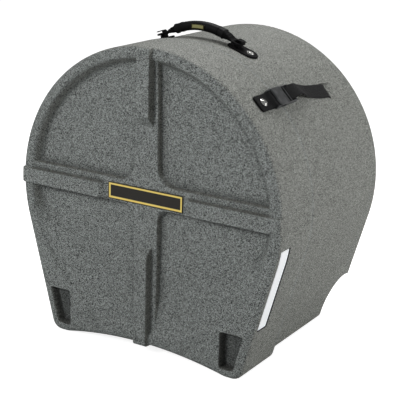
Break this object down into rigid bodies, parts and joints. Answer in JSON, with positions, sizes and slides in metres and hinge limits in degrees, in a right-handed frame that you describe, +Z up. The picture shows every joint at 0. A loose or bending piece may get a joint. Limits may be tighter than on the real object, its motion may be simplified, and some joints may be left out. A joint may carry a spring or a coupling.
{
  "type": "drum case",
  "caption": "Round drum case with flattened leaning sides and feet: ribbed lid over a deep base, webbing straps with side-release buckles, carrying handle on top.",
  "frame": {"origin": "on the floor, under the middle of the case's bounding box", "axes": "+Y from the lid's face to the back along the barrel, +X to the right as seen from the face, +Z up"},
  "size_m": [0.68, 0.5204, 0.732],
  "materials": {
    "shell_plastic": "speckled grey moulded polyethylene, matt orange-peel skin",
    "badge_plate": "black plate with a gold rim, bare",
    "panel_white": "white satin name panel, bare",
    "webbing": "black woven polypropylene webbing",
    "buckle_plastic": "black moulded acetal, satin",
    "handle_rubber": "black moulded grip, satin",
    "handle_strip": "black moulded strip",
    "gold_plate": "gold coloured plate, bare",
    "rivet_steel": "bright plated steel",
    "washer_black": "black coated cup washer",
    "foam": "dark grey foam with a felt face"
  },
  "bodies": {
    "base": {"base_shell": "shell_plastic", "base_foam_pad": "foam", "barrel_liner": "foam", "handle_plate_left": "handle_strip", "handle_plate_right": "handle_strip", "handle_rivets": "rivet_steel", "handle_cup_washers": "washer_black", "handle_backing_washers": "rivet_steel", "strap_left": "webbing", "strap_right": "webbing", "strap_stop_bars": "rivet_steel"},
    "lid": {"lid_shell": "shell_plastic", "lid_foam_pad": "foam", "front_badge": "badge_plate", "name_panel": "panel_white", "anchor_tab_left": "webbing", "anchor_tab_right": "webbing", "buckle_body_left": "buckle_plastic", "buckle_body_right": "buckle_plastic", "tab_rivets": "rivet_steel", "tab_cup_washers": "rivet_steel", "tab_backing_washers": "rivet_steel"},
    "clip_left": {"buckle_clip_left": "buckle_plastic"},
    "clip_right": {"buckle_clip_right": "buckle_plastic"},
    "handle": {"handle_core": "handle_strip", "handle_grip": "handle_rubber", "grip_badge": "gold_plate"}
  },
  "joints": [
    {"name": "lid_slide", "type": "slide", "parent": "base", "child": "lid", "axis": [0, -1, 0], "range_m": [0, 0.15]},
    {"name": "clip_left_slide", "type": "slide", "parent": "base", "child": "clip_left", "axis": [0, 1, 0], "range_m": [0, 0.03], "deforming": ["strap_left"]},
    {"name": "clip_right_slide", "type": "slide", "parent": "base", "child": "clip_right", "axis": [0, 1, 0], "range_m": [0, 0.03], "deforming": ["strap_right"]},
    {"name": "handle_lift", "type": "slide", "parent": "base", "child": "handle", "axis": [0, 0, 1], "range_m": [0, 0.004]}
  ]
}
